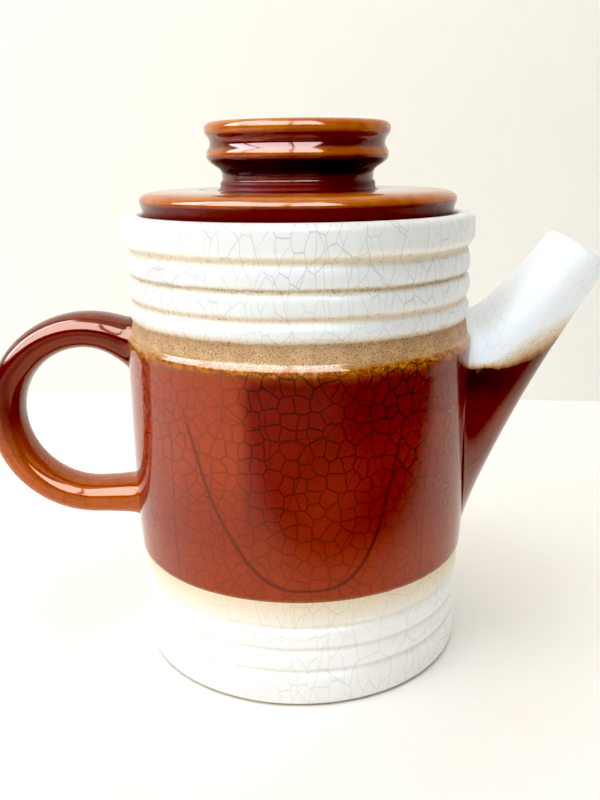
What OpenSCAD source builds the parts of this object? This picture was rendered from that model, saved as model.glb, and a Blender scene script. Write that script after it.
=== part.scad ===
// Straight-sided stoneware teapot with a lift-out brewing basket.
// The pot's axis is Z and the table is z = 0. The spout points to +X, the handle to -X.
// The basket hangs by its flange on a ledge inside the rim, and the lid rests on that flange.

/* [Pot body] */
// Outer diameter of the rim band
rim_d = 115; // [112:0.5:118]
// Height from the table to the top of the rim
body_h = 150.7; // [148:0.1:154]
// Thickness of the wall behind an upper groove
wall_t = 3.9; // [3.5:0.1:4.4]
// Height of the pot's inner floor above the table
floor_t = 6; // [5:0.5:8]
// Height of the plain rim band above the ribs
rim_band_h = 8.7; // [7:0.1:10]
// Number of thrown ribs under the rim band
upper_ribs = 3; // [2:1:3]
// Number of thrown ribs near the foot
lower_ribs = 2; // [1:1:2]
// Height of one rib
rib_h = 7.73; // [7:0.01:7.9]
// How far a rib's crest stands out from the groove beside it
rib_out = 1.0; // [0.5:0.1:1.4]
// Height of the plain band at the foot
foot_band_h = 12.4; // [10:0.2:13]
// Width of the unglazed ring the pot stands on
foot_ring_w = 8; // [5:0.5:12]

/* [Spout] */
// Height of the spout root's lowest point
spout_low_z = 40; // [38:1:46]
// Height of the spout root's highest point
spout_high_z = 113; // [108:1:116]
// Distance from the pot axis to the middle of the lip
spout_reach = 93.5; // [90:0.5:97]
// Height of the middle of the lip
spout_lip_z = 136.3; // [130:0.1:142]
// Outer diameter of the spout just under the lip
spout_lip_d = 23.2; // [21:0.1:26]
// Width of the spout where it meets the pot
spout_root_w = 40; // [34:1:44]
// Wall thickness of the spout
spout_t = 4.2; // [3.5:0.1:5]
// Diameter of each strainer hole through the pot wall behind the spout
strain_d = 5; // [3:0.5:6]

/* [Handle] */
// Radius of the handle loop, measured to the middle of its thickness
loop_r = 30.2; // [28:0.1:32]
// Thickness of the handle
grip_t = 12; // [10:0.5:14]
// Width of the handle
grip_w = 18; // [14:0.5:22]
// Height of the centre of the loop
loop_z = 81.7; // [78:0.1:86]

/* [Lid] */
// Diameter of the lid at its widest edge
lid_d = 102.6; // [100:0.2:104]
// Diameter of the lid's neck under the knob
neck_d = 49; // [44:1:52]
// Largest diameter of the knob
knob_d = 59.8; // [56:0.2:63]
// Height from the table to the top of the knob
knob_top = 178.6; // [176:0.1:182]
// Diameter of the steam vent
vent_d = 3; // [2:0.5:4]

/* [Brewing basket] */
// Outer diameter of the basket wall
basket_d = 84; // [80:0.5:85]
// Height of the basket floor above the table
basket_z = 50; // [30:1:70]
// Thickness of the sheet
sheet_t = 0.6; // [0.5:0.1:0.8]
// Diameter of each hole in the sheet
hole_d = 4; // [2.5:0.5:5]
// Number of hole columns round the wall
hole_cols = 18; // [12:2:20]
// Distance between rows of holes
hole_pitch = 8.5; // [8:0.5:12]

/* [Hidden] */
$fn = 96;

glaze_brown = [0.36, 0.07, 0.03];
glaze_white = [0.93, 0.91, 0.87];
steel = [0.75, 0.76, 0.78];

// Radii and heights that several pieces share
rim_r = rim_d / 2;
groove_r = rim_r - 2.2;       // bottom of an upper groove
embed_r = groove_r - 0.2;     // spout and handle are bedded into the wall down to here
core_h = 200;                 // cutter that clears them from inside the pot
basket_r = basket_d / 2;
ledge_z = body_h - 4.7;       // ledge that carries the basket's flange
seat_r = rim_r - 5.9;         // inside of the rim above the ledge
seat_z = ledge_z + 1;         // top of the flange, where the lid rests

// Outlines are lists of [radius, z] points.
// Arc about [centre_r, centre_z], from angle a0 to a1 in equal steps
function arc(centre_r, centre_z, radius, a0, a1, steps) =
    [for (i = [0:steps]) let (a = a0 + (a1 - a0) * i / steps)
        [centre_r + radius * cos(a), centre_z + radius * sin(a)]];

// Side faces of a skin over rings of n points. Equal bands and rings close the skin on itself.
function skin(bands, rings, n) =
    [for (i = [0:bands - 1], k = [0:n - 1])
        let (this = i * n, next = ((i + 1) % rings) * n, k2 = (k + 1) % n)
        each [[this + k, next + k2, next + k], [this + k, this + k2, next + k2]]];

// ---- Pot body ----
inner_r = groove_r - wall_t;        // inside of the pot
ledge_r = basket_r + 1.8;           // opening inside the ledge
wall_r = rim_r + 0.1;               // plain band between the two sets of ribs
low_r = rim_r - 1.6;                // plain band at the foot
low_groove_r = low_r - rib_out;
foot_r = low_r - 3.4;               // outside of the standing ring
band_z = body_h - rim_band_h;       // lower edge of the rim band
rib_top = band_z - 1.9;             // first groove
rib_low = rib_top - upper_ribs * rib_h;
low_rib_top = foot_band_h + lower_ribs * rib_h;
taper_z = 58;                       // wall tapers in below this
step_z = 37.6;                      // wall steps in below this
recess_z = 1.8;                     // recess inside the foot ring
floor_round = 9;
rim_in_round = 2;
rim_out_round = 2.4;
foot_round = 3;

strain_rows = 6;
strain_low_z = 62;
strain_row_gap = 8;
strain_hole_gap = 9;

// Ribs listed downwards from z_top: each is a half sine bump on a base radius
rib_steps = 6;
function ribs(count, z_top, base_r) =
    [for (i = [0:count - 1], k = [0:rib_steps - 1]) let (t = k / rib_steps)
        [base_r + rib_out * sin(180 * t), z_top - rib_h * (i + t)]];

// From the middle of the floor, up the inside, over the rim and down the outside
function pot_profile() = concat(
    [[0, floor_t]],
    arc(inner_r - floor_round, floor_t + floor_round, floor_round, -90, 0, 6),
    // ledge, sloping out to the wall underneath
    [[inner_r, ledge_z - 5 - (inner_r - ledge_r)], [ledge_r, ledge_z - 4],
     [ledge_r, ledge_z], [seat_r, ledge_z]],
    // rim
    arc(seat_r + rim_in_round, body_h - rim_in_round, rim_in_round, 180, 90, 4),
    arc(rim_r - rim_out_round, body_h - rim_out_round, rim_out_round, 90, 0, 4),
    [[rim_r, band_z + 0.6], [rim_r - 0.5, band_z - 0.3]],
    ribs(upper_ribs, rib_top, groove_r),
    // flare out to the plain band
    [[groove_r, rib_low], [groove_r + 1.1, rib_low - 4.4],
     [wall_r - 0.5, rib_low - 6.6], [wall_r, rib_low - 8]],
    [[wall_r, taper_z], [wall_r - 0.9, step_z], [low_r + 0.2, step_z - 1],
     [low_r + 0.2, low_rib_top + 1.4]],
    ribs(lower_ribs, low_rib_top, low_groove_r),
    // foot
    [[low_groove_r, foot_band_h], [low_r, foot_band_h - 1.4]],
    arc(low_r - foot_round, foot_round + 0.2, foot_round, 0, -72, 4),
    [[foot_r, 0], [foot_r - foot_ring_w, 0],
     [foot_r - foot_ring_w - 1.6, recess_z], [0, recess_z]]);

// Rows of three and two holes in turn through the wall behind the spout
module strainer() {
    for (row = [0:strain_rows - 1])
        let (last = row % 2 == 0 ? 2 : 1)
            for (col = [0:last])
                translate([inner_r - 6, (col - last / 2) * strain_hole_gap,
                           strain_low_z + row * strain_row_gap])
                    rotate([0, 90, 0])
                        cylinder(d = strain_d, h = 14, $fn = 24);
}

module pot_body() {
    color(glaze_white)
        difference() {
            rotate_extrude($fn = 120) polygon(pot_profile());
            strainer();
        }
}

// ---- Spout ----
// A tube drawn through oval rings. Each ring spans from an upper curve to a lower curve,
// and each curve is given in [x, z] by its root, the point that pulls it, and its lip end.
lip_tilt = 31.6;                    // fall of the cut lip from horizontal, going outwards
lip_r = spout_lip_d / 2;
lip_mid = [spout_reach, spout_lip_z];
lip_half = lip_r * [-cos(lip_tilt), sin(lip_tilt)];
upper_curve = [[rim_r - 5, spout_high_z], [rim_r + 6.5, spout_high_z + 4.5], lip_mid + lip_half];
lower_curve = [[rim_r - 1.5, spout_low_z], [rim_r + 20.5, spout_low_z + 54], lip_mid - lip_half];
lip_rings = [[0.8, 1.5], [2.1, 2.3], [3.4, 1.5]];   // rounded lip: [inset, push]
ring_sides = 28;
spout_steps = 12;

// Point on a quadratic curve, t running from 0 at the root to 1 at the lip
function bend(curve, t) =
    (1 - t) * (1 - t) * curve[0] + 2 * t * (1 - t) * curve[1] + t * t * curve[2];

function half_width(t) = lip_r + (spout_root_w / 2 - lip_r) * pow(1 - t, 1.4);

// One ring at t, shrunk by inset and pushed along the spout
function ring(t, inset, push) =
    let (upper = bend(upper_curve, t),
         lower = bend(lower_curve, t),
         half = (upper - lower) / 2,
         across = half / norm(half),
         along = [across[1], -across[0]],
         centre = (upper + lower) / 2 + along * push,
         length = norm(half) - inset,
         width = half_width(t) - inset)
    [for (k = [0:ring_sides - 1]) let (a = 360 * k / ring_sides)
        [centre[0] + across[0] * length * cos(a),
         width * sin(a),
         centre[1] + across[1] * length * cos(a)]];

// Out along the outside, over the lip and back along the inside
module spout_tube() {
    rings = concat(
        [for (i = [0:spout_steps]) ring(i / spout_steps, 0, 0)],
        [for (lip = lip_rings) ring(1, lip[0], lip[1])],
        [for (i = [0:spout_steps]) ring(1 - i / spout_steps, spout_t, 0)]);
    polyhedron(
        points = [for (r = rings) each r],
        faces = skin(len(rings), len(rings), ring_sides),
        convexity = 6);
}

module spout() {
    color(glaze_brown)
        difference() {
            spout_tube();
            cylinder(r = embed_r, h = core_h, $fn = 120);
        }
}

// ---- Handle ----
loop_x = -(rim_r + loop_r - 14.5);
root_x = 8 - embed_r;               // straight lower run starts here, inside the pot
run_steps = 3;
arc_steps = 32;
loop_sweep = 230;

// Squarish oval section: [across the thickness, across the width]
function squarish(v) = sign(v) * pow(abs(v), 0.8);
grip_section = [for (k = [0:23]) let (a = 15 * k)
    [squarish(cos(a)) * grip_t / 2, squarish(sin(a)) * grip_w / 2]];

// Stations along the handle: [x, z, direction the section's outer side faces].
// The straight run stops 0.5 short of the loop's lowest point, and the loop climbs from there.
grip_path = concat(
    [for (i = [0:run_steps])
        [loop_x + (1 - i / run_steps) * (root_x - loop_x) + (i == run_steps ? 0.5 : 0),
         loop_z - loop_r, 270]],
    [for (i = [1:arc_steps]) let (a = 270 - loop_sweep * i / arc_steps)
        [loop_x + loop_r * cos(a), loop_z + loop_r * sin(a), a]]);

module grip() {
    n = len(grip_section);
    stations = len(grip_path);
    polyhedron(
        points = [for (s = grip_path, p = grip_section)
            [s[0] + cos(s[2]) * p[0], p[1], s[1] + sin(s[2]) * p[0]]],
        faces = concat(
            [[for (k = [n - 1:-1:0]) k], [for (k = [0:n - 1]) (stations - 1) * n + k]],
            skin(stations - 1, stations, n)),
        convexity = 4);
}

module handle() {
    color(glaze_brown)
        difference() {
            grip();
            cylinder(r = embed_r, h = core_h, $fn = 120);
        }
}

// ---- Lid and knob ----
lid_r = lid_d / 2;
neck_r = neck_d / 2;
knob_r = knob_d / 2;
skirt_r = basket_r - sheet_t - 0.6; // skirt hangs inside the basket wall
skirt_in_r = skirt_r - 4;
skirt_z = seat_z - 7.5;             // bottom of the skirt
land_z = seat_z + 11.9;             // flat land under the knob
land_r = neck_r + 2.6;
lid_hole_r = 16;
lid_edge_round = 1.3;

module lid() {
    color(glaze_brown)
        difference() {
            rotate_extrude() polygon(concat(
                // underside and skirt
                [[lid_hole_r, land_z - 5], [skirt_in_r - 3, seat_z + 2.4],
                 [skirt_in_r, seat_z + 0.4], [skirt_in_r, skirt_z + 1],
                 [skirt_in_r + 1, skirt_z], [skirt_r - 1, skirt_z],
                 [skirt_r, skirt_z + 1], [skirt_r, seat_z]],
                // edge
                [[lid_r - 2.4, seat_z], [lid_r - 1.7, seat_z + 1], [lid_r - 0.8, seat_z + 4.2]],
                arc(lid_r - lid_edge_round, seat_z + 6.9, lid_edge_round, 0, 80, 4),
                // top, rising to the land
                [[lid_r - 8, seat_z + 8.9], [land_r + 6, land_z - 0.7],
                 [land_r, land_z], [lid_hole_r, land_z]]));
            // Steam vent on the handle side
            translate([-(skirt_r + neck_r) / 2 + 1, 0, seat_z - 2])
                cylinder(d = vent_d, h = 20, $fn = 32);
        }
}

module lid_knob() {
    color(glaze_brown)
        rotate_extrude() polygon(concat(
            // hollow inside, open at the bottom over the lid's hole
            [[neck_r - 4.5, land_z], [neck_r - 4.5, land_z + 5.5]],
            arc(knob_r - 8, knob_top - 9.6, 3, -20, 90, 4),
            [[0, knob_top - 6.8], [0, knob_top - 1.4]],
            // dished top and rounded lip
            [[knob_r - 7, knob_top - 0.9], [knob_r - 3.4, knob_top - 0.2]],
            arc(knob_r - 2.2, knob_top - 2.3, 2.2, 100, -20, 5),
            // groove round the waist and lower ridge
            [[knob_r - 1.2, knob_top - 4.6], [knob_r - 1.6, knob_top - 6],
             [knob_r - 1.3, knob_top - 7.6], [knob_r - 0.7, knob_top - 9]],
            arc(knob_r - 2.4, knob_top - 11, 1.8, 30, -50, 4),
            // undercut and neck
            [[neck_r + 1.2, land_z + 5], [neck_r, land_z + 3.6], [neck_r + 0.1, land_z + 1.6],
             [neck_r + 1.1, land_z + 0.4], [neck_r + 1.9, land_z]]));
}

// ---- Brewing basket ----
flange_r = seat_r - 0.7;
collar_r = basket_r + 0.8;          // collar round the top of the basket wall
collar_z = ledge_z - 8;
wall_low = basket_z + sheet_t;
wall_high = seat_z - 0.8;
cup_r = basket_r + sheet_t;         // base turns up outside the wall
cup_z = basket_z + 7;
hole_margin = 12;                   // least height from a wall end to a hole's centre
last_row = floor((wall_high - wall_low - 2 * hole_margin) / hole_pitch);
base_circles = 4;
base_pitch = 8.8;                   // distance between circles of holes in the base
base_twist = 7;                     // extra turn of each circle, in degrees

module infuser_rim() {
    color(steel)
        rotate_extrude() polygon([
            [basket_r, collar_z], [collar_r, collar_z],
            [collar_r, ledge_z - 0.6], [basket_r + 1.2, ledge_z],
            [flange_r - 0.4, ledge_z], [flange_r, ledge_z + 0.3],
            [flange_r, ledge_z + 0.7], [flange_r - 0.3, seat_z],
            [basket_r + 0.6, seat_z], [basket_r + 0.15, seat_z - 0.3], [basket_r, wall_high]]);
}

module infuser_wall() {
    color(steel)
        difference() {
            rotate_extrude()
                translate([basket_r - sheet_t, wall_low])
                    square([sheet_t, wall_high - wall_low]);
            // Odd rows are turned by half a column
            for (row = [0:last_row], k = [0:hole_cols - 1])
                rotate([0, 0, (k + (row % 2) / 2) * 360 / hole_cols])
                    translate([basket_r - 3, 0, wall_low + hole_margin + row * hole_pitch])
                        rotate([0, 90, 0])
                            cylinder(d = hole_d, h = 6, $fn = 24);
        }
}

module infuser_base() {
    color(steel)
        difference() {
            rotate_extrude() polygon([
                [0, basket_z], [basket_r - 0.4, basket_z], [basket_r + 0.3, basket_z + 0.25],
                [cup_r, basket_z + 1], [cup_r, cup_z], [basket_r, cup_z],
                [basket_r, wall_low], [0, wall_low]]);
            for (i = [1:base_circles], k = [0:6 * i - 1])
                rotate([0, 0, k * 60 / i + base_twist * i])
                    translate([i * base_pitch, 0, basket_z - 1])
                        cylinder(d = hole_d, h = sheet_t + 2, $fn = 24);
        }
}

pot_body();
spout();
handle();
lid();
lid_knob();
infuser_rim();
infuser_wall();
infuser_base();
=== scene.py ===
"""Glazed stoneware teapot with a lift-out infuser basket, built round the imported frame.

The pot stands on z = 0 and its axis is the z axis. The spout points to +x, the handle to -x,
and the camera looks along +y. Shapes are in millimetres, materials and the stage in metres.
"""
import math

import bpy
import numpy as np
from mathutils import Matrix, Vector


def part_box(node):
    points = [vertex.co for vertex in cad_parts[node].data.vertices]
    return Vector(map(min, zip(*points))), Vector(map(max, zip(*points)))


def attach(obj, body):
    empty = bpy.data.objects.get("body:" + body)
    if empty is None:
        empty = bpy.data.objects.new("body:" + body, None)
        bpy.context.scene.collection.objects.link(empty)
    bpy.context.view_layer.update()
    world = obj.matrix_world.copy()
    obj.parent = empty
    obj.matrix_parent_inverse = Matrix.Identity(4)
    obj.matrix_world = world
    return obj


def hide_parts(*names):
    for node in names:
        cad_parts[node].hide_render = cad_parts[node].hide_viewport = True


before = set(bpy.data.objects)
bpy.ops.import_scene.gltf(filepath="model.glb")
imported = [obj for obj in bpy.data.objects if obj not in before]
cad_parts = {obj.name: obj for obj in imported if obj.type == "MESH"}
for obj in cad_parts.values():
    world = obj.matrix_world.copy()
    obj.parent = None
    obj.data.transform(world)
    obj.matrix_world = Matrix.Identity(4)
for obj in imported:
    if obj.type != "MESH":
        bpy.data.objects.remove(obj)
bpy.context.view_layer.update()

MM = 0.001
TAU = 2 * math.pi


def span(node):
    """Low and high corner of a frame piece, in mm."""
    low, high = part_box(node)
    return np.array(low) / MM, np.array(high) / MM


def half_width(node):
    low, high = span(node)
    return (high[1] - low[1]) / 2


flange_low, flange_high = span("infuser_rim")
wall_low, wall_high = span("infuser_wall")

POT_TOP = span("pot_body")[1][2]
NOMINAL_TOP = 150.7               # pot height at which the rim outline was measured
PLAIN_R = 57.5                    # rim band radius of the plain solid
BAND_R = PLAIN_R + 0.45           # with the glaze's thickness on it
GLAZE_R = BAND_R + 0.1            # wall radius that spout and handle flare on to
LEDGE_Z = flange_low[2] + 8.0     # ledge the basket's flange sits on
SEAT_Z = flange_high[2]           # top of that flange, where the lid rests
KNOB_TOP = span("lid_knob")[1][2] + 0.6


# ---------------------------------------------------------------- noise and outlines
def value_noise(x, y, seed, wrap=0):
    """Smooth noise in -1..1 on arrays x, y. x wraps after wrap cells when wrap is set."""
    xi, yi = np.floor(x).astype(int), np.floor(y).astype(int)
    fx, fy = x - xi, y - yi
    fx, fy = fx * fx * (3 - 2 * fx), fy * fy * (3 - 2 * fy)

    def corner(a, b):
        if wrap:
            a = np.mod(a, wrap)
        n = (a * 374761393 + b * 668265263 + seed * 974634777) & 0xFFFFFFFF
        n = ((n ^ (n >> 13)) * 1274126177) & 0xFFFFFFFF
        return ((n ^ (n >> 16)) & 0xFFFF) / 32767.5 - 1

    near = corner(xi, yi) * (1 - fx) + corner(xi + 1, yi) * fx
    far = corner(xi, yi + 1) * (1 - fx) + corner(xi + 1, yi + 1) * fx
    return near * (1 - fy) + far * fy


def points_at(radius, height, points):
    """Outline points given as (radius, height) from a reference radius and height."""
    return np.array(points, float) + [radius, height]


def arc_points(radius, height, arc_r, start, end, count):
    """Points on an arc round (radius, height), angles in degrees."""
    a = np.radians(np.linspace(start, end, count))
    return np.stack([radius + arc_r * np.cos(a), height + arc_r * np.sin(a)], 1)


def curve_points(control, step):
    """Smooth curve through the control points, about one point per step."""
    p = np.asarray(control, float)
    out = []
    last = len(p) - 1
    for i in range(last):
        before, start, end, after = p[max(i - 1, 0)], p[i], p[i + 1], p[min(i + 2, last)]
        chord = end - start
        length = np.linalg.norm(chord)
        count = max(1, int(math.ceil(length / step)))
        length_in = np.linalg.norm(start - before) + 1e-9
        length = length + 1e-9
        length_out = np.linalg.norm(after - end) + 1e-9
        leave, arrive = chord.copy(), chord.copy()
        if i > 0:
            leave = (chord + (start - before) * length / length_in) / 2
        if i < last - 1:
            arrive = ((after - end) * length / length_out + chord) / 2
        # keep tangents short, so that no control point is overshot
        for tangent in (leave, arrive):
            size = np.linalg.norm(tangent)
            if size > 1.4 * length:
                tangent *= 1.4 * length / size
        for k in range(count):
            s = k / count
            h00, h10 = 2 * s ** 3 - 3 * s ** 2 + 1, s ** 3 - 2 * s ** 2 + s
            h01, h11 = -2 * s ** 3 + 3 * s ** 2, s ** 3 - s ** 2
            out.append(h00 * start + h10 * leave + h01 * end + h11 * arrive)
    out.append(p[-1])
    return np.array(out)


# ---------------------------------------------------------------- mesh helpers
def make_object(name, verts, faces, body, piece, slot):
    """Object that rides on body and stands in for the frame's piece. verts are in mm."""
    mesh = bpy.data.meshes.new(name)
    mesh.from_pydata((np.asarray(verts) * MM).tolist(), [], faces)
    mesh.validate()
    mesh.update()
    mesh.shade_smooth()
    ob = bpy.data.objects.new(name, mesh)
    bpy.context.scene.collection.objects.link(ob)
    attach(ob, body)
    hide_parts(piece)
    return ob


def lathe(profile, segments, shift=None):
    """Turns (radius, height) rows round z. Radius 0 gives a pole, else the profile is closed.

    shift(angles, radius, height) gives the unevenness of a ring in radius and height.
    """
    theta = np.arange(segments) * TAU / segments
    verts, rows = [], []
    for r, z in profile:
        rows.append((r < 1e-6, len(verts)))
        if r < 1e-6:
            verts.append((0.0, 0.0, z))
            continue
        radii = np.full(segments, r)
        heights = np.full(segments, z)
        if shift is not None:
            dr, dz = shift(theta, r, z)
            radii, heights = radii + dr, heights + dz
        verts.extend(zip(radii * np.cos(theta), radii * np.sin(theta), heights))
    pairs = list(zip(rows, rows[1:]))
    if not rows[0][0]:
        pairs.append((rows[-1], rows[0]))
    faces = []
    for (pole_a, a), (pole_b, b) in pairs:
        for i in range(segments):
            j = (i + 1) % segments
            if pole_a:
                faces.append((b + j, b + i, a))
            elif pole_b:
                faces.append((a + j, b, a + i))
            else:
                faces.append((a + j, b + j, b + i, a + i))
    return verts, faces


def rods(ends, radius, sides=20):
    """Cylinders as one mesh, one for each (start, end) pair."""
    verts, faces = [], []
    for start, end in ends:
        start, end = np.asarray(start, float), np.asarray(end, float)
        axis = (end - start) / np.linalg.norm(end - start)
        side = np.cross(axis, [0, 0, 1.0] if abs(axis[2]) < 0.9 else [1.0, 0, 0])
        side /= np.linalg.norm(side)
        other = np.cross(axis, side)
        first = len(verts)
        for centre in (start, end):
            for k in range(sides):
                a = TAU * k / sides
                verts.append(centre + radius * (math.cos(a) * side + math.sin(a) * other))
        faces.append(tuple(first + k for k in range(sides))[::-1])
        faces.append(tuple(first + sides + k for k in range(sides)))
        for k in range(sides):
            m = (k + 1) % sides
            faces.append((first + k, first + m, first + sides + m, first + sides + k))
    return verts, faces


def cut(ob, cutter, name):
    """Takes the closed (verts, faces) cutter away from ob and keeps the result as its mesh."""
    tool_mesh = bpy.data.meshes.new(name)
    tool_mesh.from_pydata((np.asarray(cutter[0]) * MM).tolist(), [], cutter[1])
    tool = bpy.data.objects.new(name, tool_mesh)
    bpy.context.scene.collection.objects.link(tool)
    boolean = ob.modifiers.new("cut", "BOOLEAN")
    boolean.operation, boolean.solver, boolean.object = "DIFFERENCE", "EXACT", tool
    bpy.context.view_layer.update()
    depsgraph = bpy.context.evaluated_depsgraph_get()
    result = bpy.data.meshes.new_from_object(ob.evaluated_get(depsgraph))
    ob.modifiers.remove(boolean)
    old = ob.data
    ob.data = result
    result.name = old.name
    bpy.data.meshes.remove(old)
    bpy.data.objects.remove(tool)
    bpy.data.meshes.remove(tool_mesh)
    ob.data.shade_smooth()


# ---------------------------------------------------------------- pot body
INNER_R = PLAIN_R - 6.1
LID_WELL_R = PLAIN_R - 5.9        # wall above the ledge
LEDGE_R = 43.8                    # inner edge of the ledge

# (radius from BAND_R, height): the ribbed rim, its heights measured at NOMINAL_TOP
RIM = [
    (0, 147.2), (0.05, 144.6), (-0.05, 143.0), (-0.35, 142.1), (-1.1, 141.2), (-1.85, 140.5),
    (-2.15, 139.9), (-2.0, 139.2), (-1.6, 138.3), (-1.3, 137.0), (-1.2, 135.4), (-1.3, 134.0),
    (-1.65, 132.9), (-2.1, 132.3), (-2.55, 131.9), (-2.2, 131.4), (-1.5, 130.6), (-1.1, 129.3),
    (-1.0, 127.9), (-1.1, 126.5), (-1.45, 125.3), (-1.9, 124.4), (-2.1, 123.8), (-1.9, 123.1),
    (-1.4, 122.2), (-1.0, 121.2), (-0.9, 120.1), (-1.05, 118.9), (-1.5, 117.9), (-1.9, 117.2),
    (-1.85, 116.4), (-1.6, 115.0), (-1.32, 113.4), (-1.12, 112.4), (-0.92, 111.7),
    (-0.36, 110.8), (0.08, 109.9)]
# (radius from BAND_R, height): the smooth belly, then the ribs down to the foot
BELLY = [
    (0.12, 104), (0.14, 92), (0.14, 76), (0.05, 62), (-0.2, 50), (-0.65, 41.5), (-0.82, 38.6),
    (-0.95, 37.7), (-1.35, 37.1), (-1.7, 36.6)]
LOW_RIBS = [
    (-1.75, 34), (-1.75, 30.6), (-1.85, 29.6), (-2.3, 28.6), (-2.7, 27.8), (-2.45, 27.1),
    (-1.95, 26.2), (-1.7, 25.0), (-1.65, 23.8), (-1.8, 22.3), (-2.2, 21.0), (-2.7, 20.1),
    (-2.45, 19.3), (-1.95, 18.3), (-1.7, 17.1), (-1.7, 15.9), (-1.9, 14.5), (-2.35, 13.2),
    (-2.75, 12.4), (-2.4, 11.6), (-1.9, 10.6), (-1.6, 9.2), (-1.5, 7), (-1.55, 4.6),
    (-1.75, 3.0), (-2.2, 1.6), (-2.9, 0.6), (-3.9, 0.05), (-4.6, 0.0)]
# (radius from BAND_R, height): underside, inside the foot ring
UNDERSIDE = [(-11.0, 0.0), (-11.9, 0.15), (-12.6, 0.7), (-13.2, 1.4), (-14.2, 1.75), (-18, 1.8)]


def pot_profile():
    inside = np.concatenate([
        [(0, 6), (12, 6), (28, 6.05), (38, 6.3)],
        arc_points(INNER_R - 9, 15, 9, -72, 0, 7),
        points_at(INNER_R, 0, [(0.05, 30), (0.1, 60), (0.05, 100), (0, 124)]),
        points_at(INNER_R, LEDGE_Z, [(-0.1, -14.5), (-0.8, -11.6), (-3.5, -8.2)]),
        points_at(LEDGE_R, LEDGE_Z, [
            (1.2, -5.0), (0.25, -3.6), (0, -2.4), (0, -1.0), (0.15, -0.35), (0.6, -0.05),
            (1.5, -0.02)]),
        points_at(LID_WELL_R, LEDGE_Z, [(-1.0, -0.02), (-0.35, 0.12), (-0.06, 0.5), (0, 1.4)]),
        arc_points(LID_WELL_R + 1.9, POT_TOP - 1.9, 1.9, 175, 95, 6),
        arc_points(BAND_R - 2.3, POT_TOP - 2.35, 2.35, 88, 5, 7)])
    rim = points_at(BAND_R, POT_TOP - NOMINAL_TOP, RIM)
    belly = points_at(BAND_R, 0, BELLY)
    ribs = points_at(BAND_R, 0, LOW_RIBS)
    underside = np.concatenate([points_at(BAND_R, 0, UNDERSIDE), [(20, 1.8), (0, 1.8)]])
    return np.concatenate([
        curve_points(inside, 3.0),
        curve_points(np.concatenate([rim, belly[:1]]), 0.42),
        curve_points(belly, 3.0)[1:],
        curve_points(np.concatenate([belly[-1:], ribs]), 0.5)[1:],
        curve_points(underside, 3.0)])


def thrown(theta, r, z):
    """A thrower's slight unevenness on the outside, fading out at the rim's top and the foot."""
    live = 1.0 if r > BAND_R - 4 else 0.0
    live *= min(1, max(0, (POT_TOP - 1 - z) / 6)) * min(1, z / 5)
    ribbed = 1.0 if (z > 112 or z < 30) else 0.15
    dr = 0.10 * np.sin(2 * theta + 0.7 + z * 0.01) + 0.06 * np.sin(3 * theta + 2.1 + z * 0.03)
    cells = 20
    row = np.full_like(theta, z * 0.35)
    dr += ribbed * 0.11 * value_noise(theta * cells / TAU, row, 3, cells)
    cells = 14
    row = np.full_like(theta, z * 0.12)
    dz = ribbed * 0.16 * value_noise(theta * cells / TAU, row, 9, cells)
    return dr * live, dz * live


def strainer_holes(pitch_y=9, pitch_z=8, lowest=62, radius=2.5):
    """Staggered rows of three and two holes through the wall behind the spout."""
    ends = []
    for row in range(6):
        count = 3 if row % 2 == 0 else 2
        z = lowest + row * pitch_z
        for col in range(count):
            y = (col - (count - 1) / 2) * pitch_y
            ends.append(((INNER_R - 6, y, z), (INNER_R + 8, y, z)))
    return rods(ends, radius)


pot = make_object("pot_body_glazed", *lathe(pot_profile(), 240, thrown),
                  "pot", "pot_body", "pot_glaze")
cut(pot, strainer_holes(), "strainer_cutter")


# ---------------------------------------------------------------- tubes that end in the pot's wall
def tube(point, rows, sides, wall_r, trim_end, bias=1.0):
    """Rings of point(t, angle) for t in 0..1.

    Each lengthwise line starts, and with trim_end also ends, on the cylinder of radius wall_r.
    bias above 1 crowds the rings towards the start.
    """
    angles = np.arange(sides) * TAU / sides

    def meet(angle, inner, outer):
        for _ in range(40):
            middle = (inner + outer) / 2
            p = point(middle, angle)
            if math.hypot(p[0], p[1]) < wall_r:
                inner = middle
            else:
                outer = middle
        return (inner + outer) / 2

    starts = np.array([meet(a, 0.0, 0.5) for a in angles])
    ends = np.array([meet(a, 1.0, 0.5) if trim_end else 1.0 for a in angles])
    grid = []
    for j in range(rows):
        s = (j / (rows - 1)) ** bias
        grid.append(np.array([point(starts[k] + (ends[k] - starts[k]) * s, angles[k])
                              for k in range(sides)]))
    return grid


def tube_faces(rings, sides, closed):
    """closed joins the last ring to the first, otherwise both ends are capped."""
    faces = []
    n = len(rings)
    for j in range(n if closed else n - 1):
        a, b = j * sides, ((j + 1) % n) * sides
        for k in range(sides):
            m = (k + 1) % sides
            faces.append((a + m, b + m, b + k, a + k))
    if not closed:
        faces.append(tuple(range(sides))[::-1])
        faces.append(tuple((n - 1) * sides + k for k in range(sides)))
    return faces


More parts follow.
